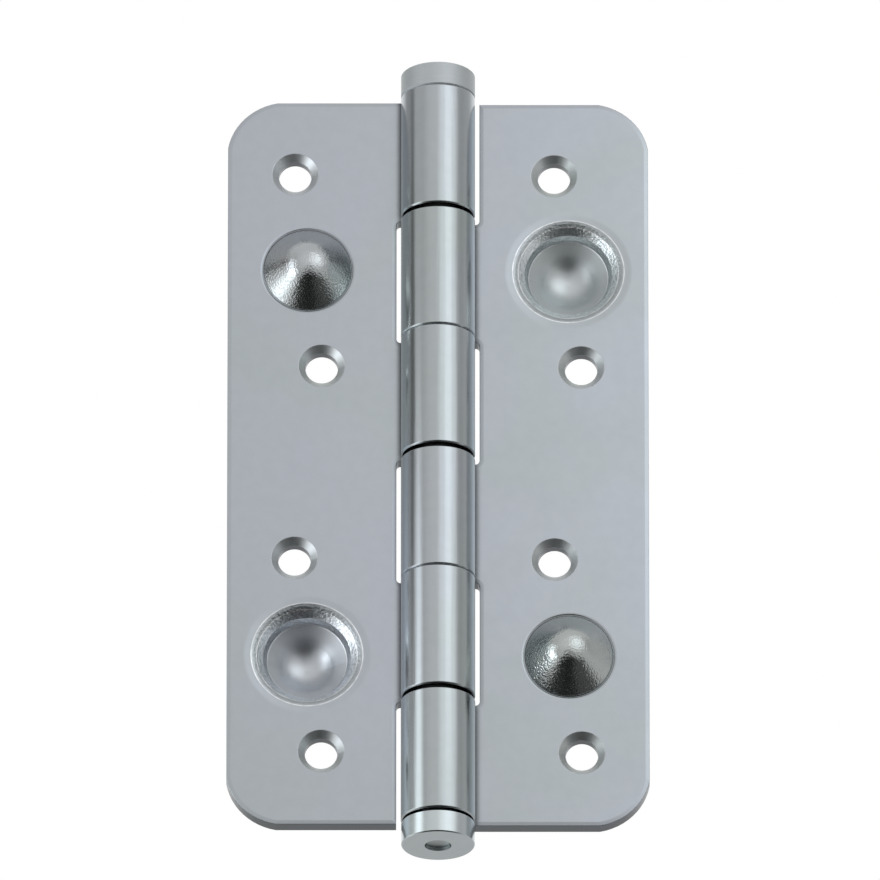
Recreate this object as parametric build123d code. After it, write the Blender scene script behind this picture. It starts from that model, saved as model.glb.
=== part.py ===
"""Security door hinge: two pressed leaves on a headed pin, with a dome and a dish on each leaf.

Millimetres, +Z up along the pin. The origin is on the pin's axis at mid height of the leaves. The
leaves lie open and flat, one to each side along X, and their countersunk faces look towards -Y.
"""

import os
from math import atan, cos, radians, sin, sqrt, tan

from build123d import *

# Leaves
hinge_height = 150.0
leaf_reach = 40.0
sheet_thickness = 3.0
corner_leg = 9.4
corner_break_angle = 10.0
edge_break = 0.12
edge_break_angle = 81.0

# Barrel
knuckle_count = 6
face_offset = 2.0
swage_radius = 4.0
curl_slit = 0.3
knuckle_edge_chamfer = 0.25
slot_clearance = 0.85
slot_corner_radius = 0.8

# Play along the pin: the mean gap between knuckles, and the gap left where one rests on the next
seam_gap = 0.4
resting_gap = 0.05

# Pin, with a head above the barrel and a spigot that carries the cap below it
pin_diameter = 8.0
pin_running_clearance = 0.05
pin_head_diameter = 14.1
pin_head_height = 4.6
spigot_diameter = 5.0
spigot_recess = 0.8

# Cap on the pin's lower end
cap_diameter = 13.9
cap_height = 4.5
cap_gap = 0.5
cap_fit_clearance = 0.02
turned_edge_chamfer = 0.2

# Screw holes: an outer and an inner pair on each leaf, in zigzag from the top
screw_hole_diameter = 6.2
countersink_diameter = 8.8
countersink_angle = 90.0
screw_hole_count = 4
hole_pitch = 40.0
outer_hole_distance = 27.2
inner_hole_distance = 22.1

# Pressed dome and dish
pressing_distance = 24.8
pressing_height = 40.0
pressing_wall = 2.0
dome_diameter = 16.8
dome_moat_width = 0.6
dome_moat_depth = 0.1
dome_slope = 45.0
dome_nose_radius = 6.0
dish_mouth_diameter = 21.2
dish_step_diameter = 19.0
dish_step_depth = 0.6
dish_wall_diameter = 16.6
dish_wall_depth = 1.75
dish_floor_diameter = 15.4
dish_floor_depth = 3.2
dish_bowl_slope = 42.0
dish_nose_radius = 7.0

# Sizes that follow from the driving dimensions
pin_radius = pin_diameter / 2
bore_radius = pin_radius + pin_running_clearance
barrel_radius = bore_radius + sheet_thickness
face_front = face_offset
face_back = face_offset + sheet_thickness
knuckle_pitch = hinge_height / knuckle_count
slot_edge = barrel_radius + slot_clearance
wall_middle = (barrel_radius + bore_radius) / 2
root_end = sqrt(wall_middle**2 - face_front**2)
leaf_lift = (seam_gap - resting_gap) / 2
barrel_end = hinge_height / 2 + leaf_lift

# Corners to be rounded are found by their place, within this distance
pick_tolerance = 0.01

# A leaf's face: across is the distance from the pin's axis to the left, up is the height
leaf_plane = Plane(origin=(0, face_front, 0), x_dir=(-1, 0, 0), z_dir=(0, 1, 0))
upwards = (Align.CENTER, Align.CENTER, Align.MIN)
downwards = (Align.CENTER, Align.CENTER, Align.MAX)


def nose_height(base_radius, slope, nose_radius):
    """Height of a cone of the given slope whose point is rounded to the nose radius."""
    angle = radians(slope)
    flank = (base_radius - nose_radius * sin(angle)) * tan(angle)
    return flank + nose_radius * (1 - cos(angle))


def nosed_cone(steps, slope, nose_radius):
    """Solid of revolution about Y: straight steps out from the axis, then a cone with a round nose."""
    angle = radians(slope)
    base_radius, base_level = steps[-1]
    tip_level = base_level + nose_height(base_radius, slope, nose_radius)
    nose_centre = tip_level - nose_radius
    nose_start = (nose_radius * sin(angle), nose_centre + nose_radius * cos(angle))
    nose_middle = (nose_radius * sin(angle / 2), nose_centre + nose_radius * cos(angle / 2))
    nose_tip = (0, tip_level)
    foot = (0, steps[0][1])
    flank = Polyline(foot, *steps, nose_start)
    nose = ThreePointArc(nose_start, nose_middle, nose_tip)
    return revolve(make_face([flank, nose, Line(nose_tip, foot)]), Axis.Y)


def turned(points):
    """Solid of revolution about Y, from the corners of a half section that starts and ends on the axis."""
    return revolve(make_face(Polyline(*points, close=True)), Axis.Y)


def reverse_bend():
    """Section of the bend behind the barrel, where the curl comes back into the plane of the leaf."""
    bend_across = sqrt((barrel_radius + swage_radius) ** 2 - (face_back + swage_radius) ** 2)
    bend_centre = Vector(-bend_across, face_back + swage_radius)
    bend_start = Vector(-bend_across, face_back)
    bend_end = bend_centre * (barrel_radius / (barrel_radius + swage_radius))
    to_middle = ((bend_start - bend_centre) + (bend_end - bend_centre)).normalized()
    bend_middle = bend_centre + to_middle * swage_radius
    sheet_middle = (face_front + face_back) / 2
    inside_wall = Vector(-sqrt(wall_middle**2 - sheet_middle**2), sheet_middle)
    outline = [
        Polyline(bend_start, inside_wall, bend_end),
        ThreePointArc(bend_end, bend_middle, bend_start),
    ]
    return make_face(outline)


def knuckle(bottom, top):
    """One rolled knuckle between two heights, with the slit where the curl comes back to the leaf."""
    length = top - bottom
    curl = Cylinder(barrel_radius, length, align=upwards)
    curl = chamfer(curl.edges().filter_by(GeomType.CIRCLE), knuckle_edge_chamfer)
    curl += extrude(reverse_bend(), amount=length)
    curl -= Cylinder(bore_radius, length, align=upwards)
    slit = Box(slot_edge, curl_slit, length, align=(Align.MAX, Align.MAX, Align.MIN))
    curl -= Pos(0, face_front, 0) * slit
    return Pos(0, 0, bottom) * curl


def knuckle_heights():
    """Lower and upper end of each of the left leaf's knuckles, from the top."""
    heights = []
    for number in range(0, knuckle_count, 2):
        top = hinge_height / 2 - number * knuckle_pitch
        upper_gap = 0 if number == 0 else seam_gap / 2
        heights.append((top - knuckle_pitch + seam_gap / 2, top - upper_gap))
    return heights


def blank_outline():
    """Flat outline of the leaf and its knuckles' roots. Its corner arcs meet the edges at a slight break."""
    low = -hinge_height / 2
    high = hinge_height / 2
    corner_start = leaf_reach - corner_leg
    arc_radius = corner_leg / sqrt(2) / sin(radians(45 - corner_break_angle))
    outline = make_face(
        [
            Line((slot_edge, low), (corner_start, low)),
            RadiusArc((corner_start, low), (leaf_reach, low + corner_leg), -arc_radius),
            Line((leaf_reach, low + corner_leg), (leaf_reach, high - corner_leg)),
            RadiusArc((leaf_reach, high - corner_leg), (corner_start, high), -arc_radius),
            Polyline((corner_start, high), (slot_edge, high), (slot_edge, low)),
        ]
    )
    for bottom, top in knuckle_heights():
        root = Rectangle(slot_edge - root_end, top - bottom, align=(Align.MIN, Align.MIN))
        outline += Pos(root_end, bottom) * root
    slot_corners = outline.vertices().filter_by(
        lambda vertex: abs(vertex.X - slot_edge) < pick_tolerance and abs(vertex.Y) < high - pick_tolerance
    )
    return fillet(slot_corners, slot_corner_radius)


def rolled_blank():
    """The leaf with its knuckles, and the rim of its front face broken as the blanking left it."""
    outline = leaf_plane.offset(edge_break) * blank_outline()
    leaf = extrude(outline, amount=sheet_thickness - edge_break)
    leaf += extrude(outline, amount=-edge_break, taper=edge_break_angle)
    for bottom, top in knuckle_heights():
        leaf += knuckle(bottom, top)
    return leaf


def on_leaf(solid, across, up):
    """Put a solid made about Y on the left leaf's face."""
    return Pos(-across, face_front, up) * solid


def add_dome(leaf, across, up):
    """Press a dome out of the front face, in a slight moat. The punch leaves a blunt cone behind it."""
    angle = radians(dome_slope)
    dome_radius = dome_diameter / 2
    moat_radius = dome_radius + dome_moat_width
    moat = turned([(0, 0), (moat_radius, 0), (dome_radius, dome_moat_depth), (0, dome_moat_depth)])
    leaf -= on_leaf(moat, across, up)
    dome_steps = [(dome_radius, -sheet_thickness / 2), (dome_radius, -dome_moat_depth)]
    dome = nosed_cone(dome_steps, dome_slope, dome_nose_radius)
    to_front = Rotation(180, 0, 0)
    leaf += on_leaf(to_front * dome, across, up)
    # The punch's flank is parallel to the dome's, and its end to the face, at the pressed wall's thickness.
    dome_height = nose_height(dome_radius, dome_slope, dome_nose_radius) - dome_moat_depth
    punch_depth = sheet_thickness + dome_height - pressing_wall
    flank_reach = dome_radius + (sheet_thickness - dome_moat_depth) / tan(angle)
    mouth_radius = flank_reach - pressing_wall / sin(angle)
    end_radius = mouth_radius - punch_depth / tan(angle)
    punch = turned([(0, 0), (mouth_radius, 0), (end_radius, punch_depth), (0, punch_depth)])
    return leaf - on_leaf(Pos(0, sheet_thickness, 0) * to_front * punch, across, up)


def add_dish(leaf, across, up):
    """Press a stepped dish into the front face, which raises a blunt boss behind it."""
    step_radius = dish_step_diameter / 2
    floor_radius = dish_floor_diameter / 2
    wall_slope = (dish_floor_depth - dish_step_depth) / (step_radius - floor_radius)
    wall_angle = atan(wall_slope)
    bowl_angle = radians(dish_bowl_slope)
    bowl_slope = tan(bowl_angle)
    # The boss's bowl is parallel to the dish's, at the pressed wall's thickness, and its wall to the dish's
    # wall as a whole, which stands a little proud of that line where it turns down to the floor.
    wall_reach = step_radius + dish_step_depth / wall_slope + pressing_wall / sin(wall_angle)
    bowl_reach = dish_floor_depth + floor_radius * bowl_slope + pressing_wall / cos(bowl_angle)
    shoulder_radius = (wall_reach * wall_slope - bowl_reach) / (wall_slope - bowl_slope)
    dish_depth = dish_floor_depth + nose_height(floor_radius, dish_bowl_slope, dish_nose_radius)
    end_level = dish_depth + pressing_wall
    root_level = sheet_thickness / 2
    boss = turned(
        [
            (0, root_level),
            (wall_reach - root_level / wall_slope, root_level),
            (shoulder_radius, bowl_reach - shoulder_radius * bowl_slope),
            ((bowl_reach - end_level) / bowl_slope, end_level),
            (0, end_level),
        ]
    )
    leaf += on_leaf(boss, across, up)
    dish_steps = [
        (dish_mouth_diameter / 2, 0),
        (step_radius, dish_step_depth),
        (dish_wall_diameter / 2, dish_wall_depth),
        (floor_radius, dish_floor_depth),
    ]
    return leaf - on_leaf(nosed_cone(dish_steps, dish_bowl_slope, dish_nose_radius), across, up)


def screw_hole():
    """Cutter for one countersunk hole, with the face of the leaf at zero and +Y into the sheet."""
    sink_radius = countersink_diameter / 2
    hole_radius = screw_hole_diameter / 2
    sink_depth = (sink_radius - hole_radius) / tan(radians(countersink_angle / 2))
    past_back = 2 * sheet_thickness
    corners = [
        (0, 0),
        (sink_radius, 0),
        (hole_radius, sink_depth),
        (hole_radius, past_back),
        (0, past_back),
    ]
    return turned(corners)


def make_left_leaf():
    """The left leaf with its front face towards -Y."""
    leaf = rolled_blank()
    leaf = add_dome(leaf, pressing_distance, pressing_height)
    leaf = add_dish(leaf, pressing_distance, -pressing_height)
    for number in range(screw_hole_count):
        across = outer_hole_distance if number % 2 == 0 else inner_hole_distance
        up = ((screw_hole_count - 1) / 2 - number) * hole_pitch
        leaf -= on_leaf(screw_hole(), across, up)
    return Pos(0, 0, leaf_lift) * leaf


def turned_disc(diameter, height, align):
    """A disc with its sharp edges broken."""
    disc = Cylinder(diameter / 2, height, align=align)
    return chamfer(disc.edges().filter_by(GeomType.CIRCLE), turned_edge_chamfer)


def make_pin():
    """The pin: its head sits on the barrel's upper end and its spigot reaches into the cap."""
    shank_end = -barrel_end - cap_gap
    head = Pos(0, 0, barrel_end) * turned_disc(pin_head_diameter, pin_head_height, upwards)
    shank = Pos(0, 0, barrel_end) * Cylinder(pin_radius, barrel_end - shank_end, align=downwards)
    # The spigot starts inside the shank, so that only its free end has a broken edge.
    spigot_length = turned_edge_chamfer + cap_height - spigot_recess
    spigot = turned_disc(spigot_diameter, spigot_length, downwards)
    return head + shank + Pos(0, 0, shank_end + turned_edge_chamfer) * spigot


def make_cap():
    """The cap pressed on the pin's spigot, against the end of the pin's shank."""
    cap = turned_disc(cap_diameter, cap_height, downwards)
    cap -= Cylinder(spigot_diameter / 2 + cap_fit_clearance, cap_height, align=downwards)
    return Pos(0, 0, -barrel_end - cap_gap) * cap


left_leaf = make_left_leaf()
pieces = {
    "left_leaf": left_leaf,
    "right_leaf": Rotation(0, 180, 0) * left_leaf,
    "hinge_pin": make_pin(),
    "pin_cap": make_cap(),
}

os.makedirs("parts", exist_ok=True)
for name, piece in pieces.items():
    export_step(piece, f"parts/{name}.step")
    print(name, round(piece.volume, 1), "mm3")
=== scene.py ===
"""Security door hinge: plated steel finishes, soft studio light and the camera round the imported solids."""

from math import cos, pi, radians, sin

import bpy
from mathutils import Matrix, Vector

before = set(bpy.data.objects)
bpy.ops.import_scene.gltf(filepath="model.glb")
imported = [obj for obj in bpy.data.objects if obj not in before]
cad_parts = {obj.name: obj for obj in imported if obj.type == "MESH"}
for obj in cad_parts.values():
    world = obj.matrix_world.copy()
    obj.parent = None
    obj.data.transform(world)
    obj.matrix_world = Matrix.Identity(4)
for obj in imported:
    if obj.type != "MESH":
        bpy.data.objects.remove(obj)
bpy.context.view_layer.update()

# Places on the leaves, in metres, the same on both leaves and above and below their middle
FACE_FRONT = 0.002
PRESSING_ACROSS = 0.0248
PRESSING_UP = 0.040
DISH_EDGES = (0.0106, 0.0095, 0.00758)
DOME_FOOT = 0.0085
# The left leaf rests this much above the middle, and the right leaf below it
LEAF_LIFT = 0.000175
BARREL_RADIUS = 0.00705

# Rings round the middle of a dome or dish. A finish fades out, or in, between the two distances
PRESSED_FADE = (0.0104, 0.0112)
DOME_FADE = (0.0080, 0.0088)
NOSE_FADE = (0.0008, 0.0024)
BOWL_FADE = (0.0074, 0.0077)
BOWL_SIDE_FADE = (0.0048, 0.0064)
WALL_INNER_FADE = (0.0076, 0.0079)
WALL_FOOT_FADE = (0.0081, 0.0084)
WALL_MOUTH_FADE = (0.0093, 0.0096)
WALL_OUTER_FADE = (0.0100, 0.0106)
SUNK_FADE = (0.0104, 0.0122)
# The same to either side of a line
GROOVE_FADE = (0.0, 0.0003)
EDGE_LINE_FADE = (0.00004, 0.00017)
# Painted shade in the crevice fades out with the share of open sky, and it lies this near to the barrel
OPEN_SKY_FADE = (0.5, 0.97)
CREVICE_REACH = 0.0016

# How far a surface faces the front or back of its leaf: less on sheared edges than on countersinks
SHEARED_LIMIT = 0.3
SLOPED_LIMIT = 0.9
FLAT_LIMIT = 0.97
# How far a knuckle's end faces up or down
END_LIMIT = 0.95

# Zinc plate, clean and dulled, each at its greenest and its bluest
CLEAN_PLATE = ((0.467, 0.505, 0.526, 1), (0.482, 0.511, 0.558, 1))
DULL_PLATE = ((0.455, 0.492, 0.513, 1), (0.470, 0.498, 0.544, 1))

# Tints of the plate. Round pieces show less blue than the flat of the leaves. On the sheet, most tints are
# painted light and painted shade: they lighten the countersinks, domes, bowls and dish walls, and darken the
# cut edges and the groove round the dome's foot
PIN_TINT = (1.12, 1.11, 1.05, 1)
CAP_TINT = (1.29, 1.30, 1.26, 1)
SHEET_TINTS_AND_PAINTED_LIGHT = {
    "barrel": (0.995, 0.998, 0.962, 1),
    # Painted shade on the cut edges of the sheet
    "sheared": (0.36, 0.36, 0.36, 1),
    # Painted light on the countersinks and domes
    "countersink": (1.38, 1.35, 1.27, 1),
    "dome": (1.12, 1.10, 1.03, 1),
    # Painted shade in the groove round the dome's foot
    "foot": (0.55, 0.55, 0.55, 1),
    # Painted light on the bowls
    "bowl": (1.28, 1.26, 1.22, 1),
    "bowl_side": (1.03, 1.02, 1.01, 1),
    # Painted light on the dish walls, less of it at their foot and hardly any at their mouth
    "wall": (1.80, 1.78, 1.72, 1),
    "wall_foot": (0.95, 0.95, 0.95, 1),
    "wall_mouth": (0.52, 0.53, 0.53, 1),
}
# Colours that cover the plate: painted shade on the knuckle ends and in the crevice beside the barrel,
# stains, and painted highlights along the dish edges
SHEET_COVERS = {
    # Painted shade on the knuckle ends, in the seams between the knuckles
    "painted_knuckle_end_shade": (0.06, 0.06, 0.06, 1),
    # Painted shade in the crevice beside the barrel
    "painted_crevice_shade": (0.08, 0.085, 0.09, 1),
    "stain": (0.16, 0.17, 0.17, 1),
    # Painted highlights on the edges of the dishes
    "painted_dish_highlights": (0.92, 0.94, 0.95, 1),
}

# Roughness of the plate
FLAT_ROUGHNESS = (0.28, 0.32)
SHEET_ROUGHNESS = {
    "barrel": 0.19,
    "dome": 0.17,
    "countersink": 0.40,
    "bowl": 0.37,
    "bowl_side": 0.55,
}
PIN_ROUGHNESS = (0.50, 0.58)
CAP_ROUGHNESS = (0.20, 0.26)

# Fine relief, in metres
EDGE_SOFTNESS = 0.0002
NOSE_SOFTNESS = 0.0016
SUNK_DEPTH = 0.00013
GROOVE_DEPTH = 0.00008
GRAIN_DEPTH = 0.000012
PEEL_DEPTH = 0.00007
TEAR_DEPTH = 0.00012
STREAK_DEPTH = 0.00003
LATHE_DEPTH = 0.00003
# How strongly the fainter marks show, from 0 to 1
SHEET_GRAIN_STRENGTH = 0.10
BAR_GRAIN_STRENGTH = 0.25
LATHE_STRENGTH = 0.3
STAIN_STRENGTH = 0.2
FAINTEST_LINE = 0.5

# Noise, in lumps to the metre, and the parts of its range that are used
CLOUDS = 30
SPECKS = 420
PATCHES = 90
LINE_BREAKS = 500
TEARS = 2000
SHEET_GRAINS = 3600
PEEL_LUMPS = 2600
STREAKS = 650
# Streaks are drawn out along the knuckles
STREAK_STRETCH = (1, 1, 0.06)
LATHE_LINES = 3200
BAR_GRAINS = 4200
WIDE_PART = (0.3, 0.7)
MIDDLE_PART = (0.35, 0.65)
LOWER_PART = (0.35, 0.6)

# Camera: below the hinge and looking up at its open face through a long lens
CAMERA_ELEVATION = -24.3
CAMERA_DISTANCE = 6.0
SENSOR_WIDTH = 36.0
FRAME_PIXELS = 880
PIXELS_PER_METRE = 5270
PIN_AXIS_PIXEL = 438.0
LEAF_MIDDLE_PIXEL = 462.5

# Studio
TENT_RADIUS = 0.45
TENT_LEVEL = 0.60
COOL_LIGHT = (0.955, 1.0, 1.035)
COOL_LEVELS = (0.95, 1.35)
WORLD_LEVEL = 0.6
FLOOR_LEVEL = -3.2
# Lighter and darker fields of the tent, each a spot with a soft edge:
# azimuth, elevation, radius of the even middle, radius of the soft edge, level
TENT_FIELDS = (
    (0, 90, 20, 60, 0.72),
    (0, -90, 10, 40, 0.40),
    (-2, 22, 10, 44, 0.80),
    (31, 24, 15, 33, 1.20),
    (84, 20, 12, 26, 0.48),
    (112, 14, 20, 34, 0.56),
    (-112, 34, 14, 30, 0.42),
    (-62, 9, 5, 18, 1.70),
    (-86, 26, 3, 11, 0.12),
    (-92, -27, 12, 26, 1.45),
    (-67, -13, 8, 22, 1.80),
    (6, -55, 24, 40, 0.02),
    (4, -14, 4, 15, 0.34),
    (58, -46, 10, 28, 0.08),
    (-46, -58, 8, 20, 0.03),
    (180, 30, 26, 60, 1.05),
    (180, -26, 16, 36, 0.55),
)


def direction(azimuth, elevation):
    """Unit vector from the hinge. Azimuth 0 is in front of the open face, and grows to the right."""
    around = radians(azimuth)
    up = radians(elevation)
    return Vector((sin(around) * cos(up), -cos(around) * cos(up), sin(up)))


# Node helpers


def add_node(tree, kind, inputs=None, **settings):
    """Add a node, set its properties, and fill its inputs with values or other nodes' outputs."""
    made = tree.nodes.new(kind)
    for name, value in settings.items():
        setattr(made, name, value)
    for key, value in (inputs or {}).items():
        if isinstance(value, bpy.types.NodeSocket):
            tree.links.new(value, made.inputs[key])
        else:
            made.inputs[key].default_value = value
    return made


def add_math(tree, operation, first, second=0.0):
    return add_node(tree, "ShaderNodeMath", {0: first, 1: second}, operation=operation).outputs[0]


def both(tree, first, second):
    """What two shares have in common."""
    return add_math(tree, "MULTIPLY", first, second)


def opposite(tree, share):
    return add_math(tree, "SUBTRACT", 1.0, share)


def add_noise(tree, place, scale, detail=2.0, distortion=0.0):
    """Noise with about the given number of lumps to the metre."""
    inputs = {"Vector": place, "Scale": scale, "Detail": detail, "Distortion": distortion}
    return add_node(tree, "ShaderNodeTexNoise", inputs).outputs["Fac"]


def add_range(tree, value, from_range, to_low, to_high):
    """Carry a value smoothly from one range to another."""
    inputs = {
        "Value": value,
        "From Min": from_range[0],
        "From Max": from_range[1],
        "To Min": to_low,
        "To Max": to_high,
    }
    made = add_node(tree, "ShaderNodeMapRange", inputs, interpolation_type="SMOOTHSTEP")
    return made.outputs["Result"]


def within(tree, away, fade):
    """1 nearer than the fade, 0 beyond it."""
    return add_range(tree, away, fade, 1.0, 0.0)


def beyond(tree, away, fade):
    """0 nearer than the fade, 1 beyond it."""
    return add_range(tree, away, fade, 0.0, 1.0)


def off_line(tree, away, radius):
    """Distance to either side of a ring."""
    return add_math(tree, "ABSOLUTE", add_math(tree, "SUBTRACT", away, radius))


def mix_colours(tree, factor, first, second):
    inputs = {"Factor": factor, 6: first, 7: second}
    return add_node(tree, "ShaderNodeMix", inputs, data_type="RGBA").outputs[2]


def tint(tree, share, colour, times):
    """Multiply a colour, where the share is 1."""
    inputs = {"Factor": share, 6: colour, 7: times}
    return add_node(tree, "ShaderNodeMix", inputs, data_type="RGBA", blend_type="MULTIPLY").outputs[2]


def mix_numbers(tree, factor, first, second):
    inputs = {"Factor": factor, "A": first, "B": second}
    return add_node(tree, "ShaderNodeMix", inputs, data_type="FLOAT").outputs[0]


def scale_place(tree, place, times):
    inputs = {0: place, 1: times}
    return add_node(tree, "ShaderNodeVectorMath", inputs, operation="MULTIPLY").outputs[0]


def add_bump(tree, height, depth, strength, normal=None):
    """Bump of a depth in metres, on top of another bump if one is given."""
    inputs = {"Height": height, "Distance": depth, "Strength": strength}
    if normal is not None:
        inputs["Normal"] = normal
    return add_node(tree, "ShaderNodeBump", inputs).outputs["Normal"]


def new_material(name):
    """A metal material with a bare node tree. Gives the tree, the shader and the place on the object."""
    material = bpy.data.materials.new(name)
    material.use_nodes = True
    tree = material.node_tree
    tree.nodes.clear()
    output = tree.nodes.new("ShaderNodeOutputMaterial")
    shader = tree.nodes.new("ShaderNodeBsdfPrincipled")
    shader.inputs["Metallic"].default_value = 1.0
    tree.links.new(shader.outputs["BSDF"], output.inputs["Surface"])
    place = add_node(tree, "ShaderNodeTexCoord").outputs["Object"]
    return material, tree, shader, place


# Materials


def plate_colour(tree, place):
    """Zinc plate: a cool grey that clouds over a few centimetres towards green and towards blue."""
    clouds = add_noise(tree, place, CLOUDS, detail=3.0, distortion=0.6)
    cloud = add_range(tree, clouds, MIDDLE_PART, 0.0, 1.0)
    speck = add_range(tree, add_noise(tree, place, SPECKS), WIDE_PART, 0.0, 1.0)
    clean = mix_colours(tree, cloud, *CLEAN_PLATE)
    dulled = mix_colours(tree, cloud, *DULL_PLATE)
    return mix_colours(tree, speck, dulled, clean)


def facing(tree, axis):
    """How far a surface faces along an axis of its piece, from -1 to 1."""
    normal = add_node(tree, "ShaderNodeTexCoord").outputs["Normal"]
    return add_node(tree, "ShaderNodeSeparateXYZ", {0: normal}).outputs[axis]


def on_barrel(tree, place):
    """1 on the knuckles, 0 on the flat of a leaf."""
    across = add_math(tree, "ABSOLUTE", add_node(tree, "ShaderNodeSeparateXYZ", {0: place}).outputs["X"])
    return add_math(tree, "LESS_THAN", across, BARREL_RADIUS)


def painted_knuckle_end_shade(tree, barrel):
    """1 on the ends of the knuckles, where painted shade darkens the seams between them."""
    upright = add_math(tree, "ABSOLUTE", facing(tree, "Z"))
    return both(tree, barrel, add_math(tree, "GREATER_THAN", upright, END_LIMIT))


def crevice_share(tree, barrel, flatness):
    """Painted shade: 1 on the flat of a leaf deep in the crevice beside the barrel, 0 in the open and on the
    barrel.
    """
    inputs = {"Distance": CREVICE_REACH}
    open_sky = add_node(tree, "ShaderNodeAmbientOcclusion", inputs, samples=8).outputs["AO"]
    deep = both(tree, within(tree, open_sky, OPEN_SKY_FADE), opposite(tree, barrel))
    return both(tree, deep, add_math(tree, "GREATER_THAN", flatness, FLAT_LIMIT))


def pressing_places(tree, place):
    """Distance from the middle of the nearest dome or dish, and 1 on a leaf's half that has the dish."""
    parts = add_node(tree, "ShaderNodeSeparateXYZ", {0: place})
    side = add_math(tree, "SIGN", parts.outputs["X"])
    up = add_math(tree, "ADD", parts.outputs["Z"], add_math(tree, "MULTIPLY", side, LEAF_LIFT))
    across = add_math(tree, "ABSOLUTE", parts.outputs["X"])
    inputs = {"X": across, "Z": add_math(tree, "ABSOLUTE", up)}
    folded = add_node(tree, "ShaderNodeCombineXYZ", inputs).outputs[0]
    inputs = {0: folded, 1: (PRESSING_ACROSS, 0, PRESSING_UP)}
    away = add_node(tree, "ShaderNodeVectorMath", inputs, operation="DISTANCE").outputs["Value"]
    return away, add_math(tree, "GREATER_THAN", add_math(tree, "MULTIPLY", side, up), 0.0)


def painted_dish_highlights(tree, place, away):
    """Painted highlights: 1 on thin broken rings along the edges of a dish, on the front of a leaf."""
    lines = 0.0
    for radius in DISH_EDGES:
        line = within(tree, off_line(tree, away, radius), EDGE_LINE_FADE)
        lines = add_math(tree, "MAXIMUM", lines, line)
    lines = both(tree, lines, add_math(tree, "LESS_THAN", facing(tree, "Y"), 0.0))
    broken = add_range(tree, add_noise(tree, place, LINE_BREAKS), LOWER_PART, FAINTEST_LINE, 1.0)
    return both(tree, lines, broken)


def flat_shares(tree, place, away):
    """Shares outside the pressings: the knuckles, sheared edges, countersinks and crevices."""
    unpressed = opposite(tree, within(tree, away, PRESSED_FADE))
    barrel = on_barrel(tree, place)
    flatness = add_math(tree, "ABSOLUTE", facing(tree, "Y"))
    edge_on = add_math(tree, "LESS_THAN", flatness, SHEARED_LIMIT)
    sloped = add_math(tree, "SUBTRACT", add_math(tree, "LESS_THAN", flatness, SLOPED_LIMIT), edge_on)
    return {
        "barrel": barrel,
        "painted_knuckle_end_shade": painted_knuckle_end_shade(tree, barrel),
        "sheared": both(tree, add_math(tree, "SUBTRACT", edge_on, barrel), unpressed),
        "countersink": both(tree, add_math(tree, "SUBTRACT", sloped, barrel), unpressed),
        "painted_crevice_shade": both(tree, crevice_share(tree, barrel, flatness), unpressed),
    }


def pressing_shares(tree, place, away, on_dish_half, torn):
    """Shares on the domes and dishes."""
    on_dome_half = opposite(tree, on_dish_half)
    wall_ring = both(tree, beyond(tree, away, WALL_INNER_FADE), within(tree, away, WALL_OUTER_FADE))
    wall = both(tree, wall_ring, on_dish_half)
    bowl = both(tree, within(tree, away, BOWL_FADE), on_dish_half)
    return {
        "dome": both(tree, within(tree, away, DOME_FADE), on_dome_half),
        "foot": both(tree, within(tree, off_line(tree, away, DOME_FOOT), GROOVE_FADE), on_dome_half),
        "bowl": bowl,
        "bowl_side": both(tree, bowl, beyond(tree, away, BOWL_SIDE_FADE)),
        "wall": wall,
        "wall_foot": both(tree, wall, within(tree, away, WALL_FOOT_FADE)),
        "wall_mouth": both(tree, wall, beyond(tree, away, WALL_MOUTH_FADE)),
        "stain": both(tree, wall, add_range(tree, torn, LOWER_PART, STAIN_STRENGTH, 0.0)),
        "sunk": both(tree, within(tree, away, SUNK_FADE), on_dish_half),
        "painted_dish_highlights": both(tree, painted_dish_highlights(tree, place, away), on_dish_half),
    }


def sheet_colour(tree, place, shares):
    """Plate with tints, painted light and painted shade on parts of the sheet, under painted shade on the
    knuckle ends and in the crevice, stains, and painted highlights along the dish edges.
    """
    plate = plate_colour(tree, place)
    # Painted light and painted shade: these tints lighten or darken parts of the sheet
    for name, times in SHEET_TINTS_AND_PAINTED_LIGHT.items():
        plate = tint(tree, shares[name], plate, times)
    for name, cover in SHEET_COVERS.items():
        plate = mix_colours(tree, shares[name], plate, cover)
    return plate


def sheet_roughness(tree, place, shares):
    """Satin on the flat, glossier where the sheet was rolled or drawn, and duller in the dishes."""
    roughness = add_range(tree, add_noise(tree, place, PATCHES, detail=3.0), WIDE_PART, *FLAT_ROUGHNESS)
    for name, value in SHEET_ROUGHNESS.items():
        roughness = mix_numbers(tree, shares[name], roughness, value)
    return roughness


def sheet_relief(tree, place, away, shares, torn):
    """Soft edges and noses, and the fine relief that the rolls and the press left on the sheet."""
    softness = add_range(tree, away, NOSE_FADE, NOSE_SOFTNESS, EDGE_SOFTNESS)
    relief = add_node(tree, "ShaderNodeBevel", {"Radius": softness}, samples=6).outputs["Normal"]
    relief = add_bump(tree, opposite(tree, shares["sunk"]), SUNK_DEPTH, 1.0, relief)
    relief = add_bump(tree, opposite(tree, shares["foot"]), GROOVE_DEPTH, 1.0, relief)
    grain = add_noise(tree, place, SHEET_GRAINS)
    relief = add_bump(tree, grain, GRAIN_DEPTH, SHEET_GRAIN_STRENGTH, relief)
    peel = both(tree, add_noise(tree, place, PEEL_LUMPS, detail=1.0), shares["dome"])
    relief = add_bump(tree, peel, PEEL_DEPTH, 1.0, relief)
    relief = add_bump(tree, both(tree, torn, shares["wall"]), TEAR_DEPTH, 1.0, relief)
    drawn_out = scale_place(tree, place, STREAK_STRETCH)
    streaks = add_noise(tree, drawn_out, STREAKS, distortion=0.4)
    return add_bump(tree, both(tree, streaks, shares["barrel"]), STREAK_DEPTH, 1.0, relief)


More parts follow.
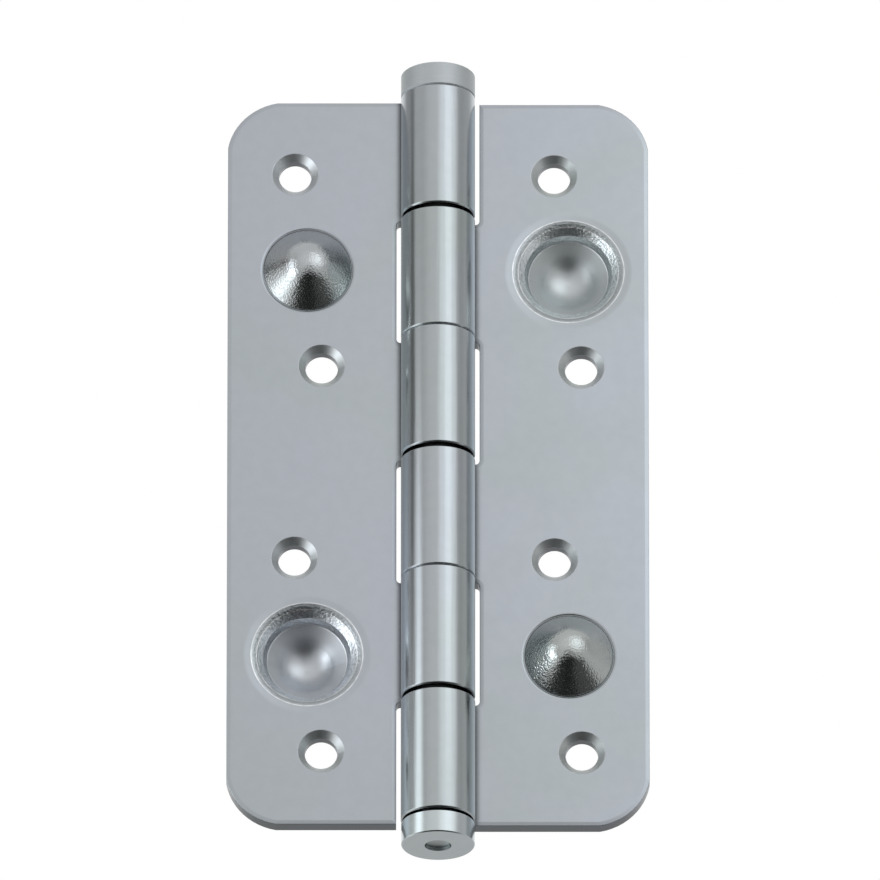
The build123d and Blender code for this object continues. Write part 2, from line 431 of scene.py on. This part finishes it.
def plated_sheet():
    """Satin plate on rolled sheet, with the skin that the press drew over the domes and dishes."""
    material, tree, shader, place = new_material("satin_zinc_sheet")
    away, on_dish_half = pressing_places(tree, place)
    torn = add_noise(tree, place, TEARS, detail=3.0)
    shares = flat_shares(tree, place, away)
    shares.update(pressing_shares(tree, place, away, on_dish_half, torn))
    tree.links.new(sheet_colour(tree, place, shares), shader.inputs["Base Color"])
    tree.links.new(sheet_roughness(tree, place, shares), shader.inputs["Roughness"])
    tree.links.new(sheet_relief(tree, place, away, shares, torn), shader.inputs["Normal"])
    return material


def turning_lines(tree, place):
    """Rings left by a lathe: along the side of a turned piece, and round the middle of its ends."""
    flat = scale_place(tree, place, (1, 1, 0))
    away = add_node(tree, "ShaderNodeVectorMath", {0: flat}, operation="LENGTH").outputs["Value"]
    height = add_node(tree, "ShaderNodeSeparateXYZ", {0: place}).outputs["Z"]
    along = add_math(tree, "ADD", away, height)
    line = add_node(tree, "ShaderNodeCombineXYZ", {"X": along}).outputs[0]
    return add_noise(tree, line, LATHE_LINES, detail=3.0)


def turned_bar(name, roughness, plate_tint):
    """Zinc plate on a turned piece."""
    material, tree, shader, place = new_material(name)
    plate = tint(tree, 1.0, plate_colour(tree, place), plate_tint)
    tree.links.new(plate, shader.inputs["Base Color"])
    lines = turning_lines(tree, place)
    tree.links.new(add_range(tree, lines, WIDE_PART, *roughness), shader.inputs["Roughness"])
    grooves = add_bump(tree, lines, LATHE_DEPTH, LATHE_STRENGTH)
    grain = add_noise(tree, place, BAR_GRAINS)
    relief = add_bump(tree, grain, GRAIN_DEPTH, BAR_GRAIN_STRENGTH, grooves)
    tree.links.new(relief, shader.inputs["Normal"])
    return material


def dress(node_name, material):
    """Give a CAD node's material slots a finish."""
    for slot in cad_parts[node_name].material_slots:
        slot.material = material


# Studio


def glowing_material(name):
    """A material that only shines. Gives the tree and the shader."""
    material = bpy.data.materials.new(name)
    material.use_nodes = True
    tree = material.node_tree
    tree.nodes.clear()
    output = tree.nodes.new("ShaderNodeOutputMaterial")
    shader = tree.nodes.new("ShaderNodeEmission")
    tree.links.new(shader.outputs["Emission"], output.inputs["Surface"])
    return material, tree, shader


def tent_material():
    """Grey studio walls with their lighter and darker fields. The light fields are cooler."""
    material, tree, shader = glowing_material("studio_walls")
    material.cycles.emission_sampling = "NONE"
    place = add_node(tree, "ShaderNodeTexCoord").outputs["Object"]
    out = add_node(tree, "ShaderNodeVectorMath", {0: place}, operation="NORMALIZE").outputs[0]
    level = TENT_LEVEL
    for azimuth, elevation, middle, edge, field_level in TENT_FIELDS:
        inputs = {0: out, 1: direction(azimuth, elevation)}
        towards = add_node(tree, "ShaderNodeVectorMath", inputs, operation="DOT_PRODUCT").outputs["Value"]
        share = add_range(tree, towards, (cos(radians(edge)), cos(radians(middle))), 0.0, 1.0)
        level = mix_numbers(tree, share, level, field_level)
    cool = add_range(tree, level, COOL_LEVELS, 0.0, 1.0)
    tree.links.new(mix_colours(tree, cool, (1, 1, 1, 1), (*COOL_LIGHT, 1)), shader.inputs["Color"])
    tree.links.new(level, shader.inputs["Strength"])
    return material


def make_tent():
    """Studio walls round the hinge, which light it and show in it but not to the camera."""
    bpy.ops.mesh.primitive_uv_sphere_add(segments=64, ring_count=32, radius=TENT_RADIUS)
    tent = bpy.context.object
    tent.name = "studio_walls"
    tent.data.materials.append(tent_material())
    tent.visible_camera = False


def make_softbox(name, azimuth, elevation, away, width, height, level):
    """Area lamp turned to the hinge. Its level is against a white of 1."""
    lamp = bpy.data.lights.new(name, "AREA")
    lamp.shape = "RECTANGLE"
    lamp.size = width
    lamp.size_y = height
    lamp.energy = level * pi * width * height
    lamp.color = COOL_LIGHT
    box = bpy.data.objects.new(name, lamp)
    box.location = direction(azimuth, elevation) * away
    box.rotation_euler = box.location.to_track_quat("Z", "Y").to_euler()
    box.visible_camera = False
    bpy.context.collection.objects.link(box)


def make_floor():
    """Pale floor far below the hinge."""
    bpy.ops.mesh.primitive_plane_add(size=60, location=(0, 0, FLOOR_LEVEL))
    floor = bpy.context.object
    floor.name = "studio_floor"
    floor.data.materials.append(glowing_material("pale_floor")[0])


def make_world():
    """White to the camera and in reflections, and softer as a light."""
    world = bpy.data.worlds.new("studio")
    bpy.context.scene.world = world
    world.use_nodes = True
    tree = world.node_tree
    tree.nodes.clear()
    path = tree.nodes.new("ShaderNodeLightPath")
    shows = add_math(tree, "MAXIMUM", path.outputs["Is Camera Ray"], path.outputs["Is Glossy Ray"])
    shows = add_math(tree, "MAXIMUM", shows, path.outputs["Is Transmission Ray"])
    strength = mix_numbers(tree, shows, WORLD_LEVEL, 1.0)
    background = add_node(tree, "ShaderNodeBackground", {"Strength": strength})
    background.inputs["Color"].default_value = (1, 1, 1, 1)
    output = tree.nodes.new("ShaderNodeOutputWorld")
    tree.links.new(background.outputs[0], output.inputs["Surface"])


def make_camera():
    """The camera, set so that the pin and the leaves' middle fall on their pixels."""
    camera = bpy.data.cameras.new("camera")
    camera.sensor_width = SENSOR_WIDTH
    camera.lens = SENSOR_WIDTH * CAMERA_DISTANCE * PIXELS_PER_METRE / FRAME_PIXELS
    camera.clip_end = 100
    holder = bpy.data.objects.new("camera", camera)
    back = direction(0, CAMERA_ELEVATION)
    turn = back.to_track_quat("Z", "Y")
    right = (FRAME_PIXELS / 2 - PIN_AXIS_PIXEL) / PIXELS_PER_METRE
    raised = (LEAF_MIDDLE_PIXEL - FRAME_PIXELS / 2) / PIXELS_PER_METRE
    aim = Vector((0, FACE_FRONT, 0)) + turn @ Vector((right, raised, 0))
    holder.location = aim + back * CAMERA_DISTANCE
    holder.rotation_euler = turn.to_euler()
    bpy.context.collection.objects.link(holder)
    bpy.context.scene.camera = holder


sheet = plated_sheet()
dress("left_leaf", sheet)
dress("right_leaf", sheet)
dress("hinge_pin", turned_bar("turned_zinc_pin", PIN_ROUGHNESS, PIN_TINT))
dress("pin_cap", turned_bar("turned_zinc_cap", CAP_ROUGHNESS, CAP_TINT))

make_tent()
make_softbox("key_softbox", azimuth=32, elevation=26, away=0.4, width=0.13, height=0.16, level=0.32)
make_softbox("side_softbox", azimuth=-62, elevation=-11, away=0.4, width=0.08, height=0.10, level=2.40)
make_floor()
make_world()
make_camera()
bpy.context.scene.view_settings.view_transform = "Standard"
